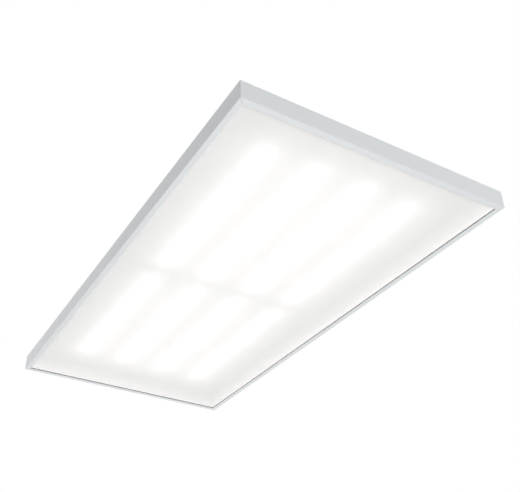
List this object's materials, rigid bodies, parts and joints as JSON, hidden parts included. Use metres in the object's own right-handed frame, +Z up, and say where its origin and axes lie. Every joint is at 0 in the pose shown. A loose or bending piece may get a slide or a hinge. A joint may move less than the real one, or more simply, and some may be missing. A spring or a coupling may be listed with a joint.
{
  "type": "recessed troffer light",
  "caption": "Shallow rectangular lay-in ceiling light with a lit opal diffuser, mitred white frame, gear box on the back and swing-out grid clips.",
  "frame": {"origin": "middle of the lower face of the lips, which lies on the ceiling grid", "axes": "+X across the short side, +Y along the long side, +Z up into the ceiling"},
  "size_m": [0.595, 1.195, 0.0765],
  "materials": {
    "white_powder_coat": "satin powder coat",
    "coated_plate": "smooth white coil coat",
    "zinc_steel": "bright zinc plated",
    "spring_steel": "zinc plated spring steel",
    "grey_foam": "closed-cell foam",
    "opal_sheet": "opal, softly lit",
    "white_reflector": "matt white",
    "white_board": "white solder mask",
    "chip_phosphor": "pale phosphor",
    "white_nylon": "natural nylon",
    "driver_case": "pale grey coat",
    "green_board": "green solder mask",
    "black_component": "moulded",
    "grey_plastic": "moulded",
    "orange_lever": "moulded",
    "black_rubber": "matt",
    "black_nylon": "matt",
    "white_wire": "pvc insulation",
    "brown_wire": "pvc insulation",
    "green_wire": "pvc insulation"
  },
  "bodies": {
    "housing": {"back_plate": "coated_plate", "back_plate_screws": "zinc_steel", "board_plugs": "white_nylon", "board_rivets": "white_nylon", "cable_grommet": "black_rubber", "clip_nuts": "zinc_steel", "clip_screws": "zinc_steel", "corner_brackets": "zinc_steel", "corner_screws": "zinc_steel", "cross_board": "white_board", "diffuser": "opal_sheet", "driver_base": "driver_case", "driver_board": "green_board", "driver_components": "black_component", "driver_cover": "driver_case", "driver_screws": "zinc_steel", "earth_lead": "green_wire", "earth_lug": "zinc_steel", "earth_stud": "zinc_steel", "gear_box": "coated_plate", "gear_box_rivets": "zinc_steel", "hinge_pins": "zinc_steel", "jumper_leads": "white_wire", "lid_screw": "zinc_steel", "light_board_1": "white_board", "light_board_2": "white_board", "light_board_3": "white_board", "light_board_4": "white_board", "light_board_5": "white_board", "light_board_6": "white_board", "light_board_7": "white_board", "light_board_8": "white_board", "light_chips_far": "chip_phosphor", "light_chips_near": "chip_phosphor", "mains_leads": "brown_wire", "output_leads": "white_wire", "rail_far": "white_powder_coat", "rail_left": "white_powder_coat", "rail_near": "white_powder_coat", "rail_right": "white_powder_coat", "reflector_sheet": "white_reflector", "seal_far": "grey_foam", "seal_left": "grey_foam", "seal_near": "grey_foam", "seal_right": "grey_foam", "side_reflector_far": "white_reflector", "side_reflector_left": "white_reflector", "side_reflector_near": "white_reflector", "side_reflector_right": "white_reflector", "suspension_nuts": "zinc_steel", "terminal_housing": "grey_plastic", "wire_bush": "black_nylon"},
    "gear_lid": {"gear_lid": "coated_plate"},
    "terminal_lever_1": {"terminal_lever_1": "orange_lever"},
    "terminal_lever_2": {"terminal_lever_2": "orange_lever"},
    "terminal_lever_3": {"terminal_lever_3": "orange_lever"},
    "grid_clip_1": {"grid_clip_1": "spring_steel"},
    "grid_clip_2": {"grid_clip_2": "spring_steel"},
    "grid_clip_3": {"grid_clip_3": "spring_steel"},
    "grid_clip_4": {"grid_clip_4": "spring_steel"}
  },
  "joints": [
    {"name": "gear_lid_hinge", "type": "hinge", "parent": "housing", "child": "gear_lid", "pos_m": [0, 0.0508, 0.074], "axis": [-1, 0, 0], "range_deg": [0, 110]},
    {"name": "terminal_lever_1_pivot", "type": "hinge", "parent": "housing", "child": "terminal_lever_1", "pos_m": [0.1396, -0.0075, 0.0522], "axis": [0, -1, 0], "range_deg": [0, 90]},
    {"name": "terminal_lever_2_pivot", "type": "hinge", "parent": "housing", "child": "terminal_lever_2", "pos_m": [0.1396, 0, 0.0522], "axis": [0, -1, 0], "range_deg": [0, 90]},
    {"name": "terminal_lever_3_pivot", "type": "hinge", "parent": "housing", "child": "terminal_lever_3", "pos_m": [0.1396, 0.0075, 0.0522], "axis": [0, -1, 0], "range_deg": [0, 90]},
    {"name": "grid_clip_1_pivot", "type": "hinge", "parent": "housing", "child": "grid_clip_1", "pos_m": [-0.2755, -0.3975, 0.0411], "axis": [0, 0, 1], "range_deg": [0, 90]},
    {"name": "grid_clip_2_pivot", "type": "hinge", "parent": "housing", "child": "grid_clip_2", "pos_m": [0.2755, -0.3975, 0.0411], "axis": [0, 0, -1], "range_deg": [0, 90]},
    {"name": "grid_clip_3_pivot", "type": "hinge", "parent": "housing", "child": "grid_clip_3", "pos_m": [0.2755, 0.3975, 0.0411], "axis": [0, 0, 1], "range_deg": [0, 90]},
    {"name": "grid_clip_4_pivot", "type": "hinge", "parent": "housing", "child": "grid_clip_4", "pos_m": [-0.2755, 0.3975, 0.0411], "axis": [0, 0, -1], "range_deg": [0, 90]}
  ]
}
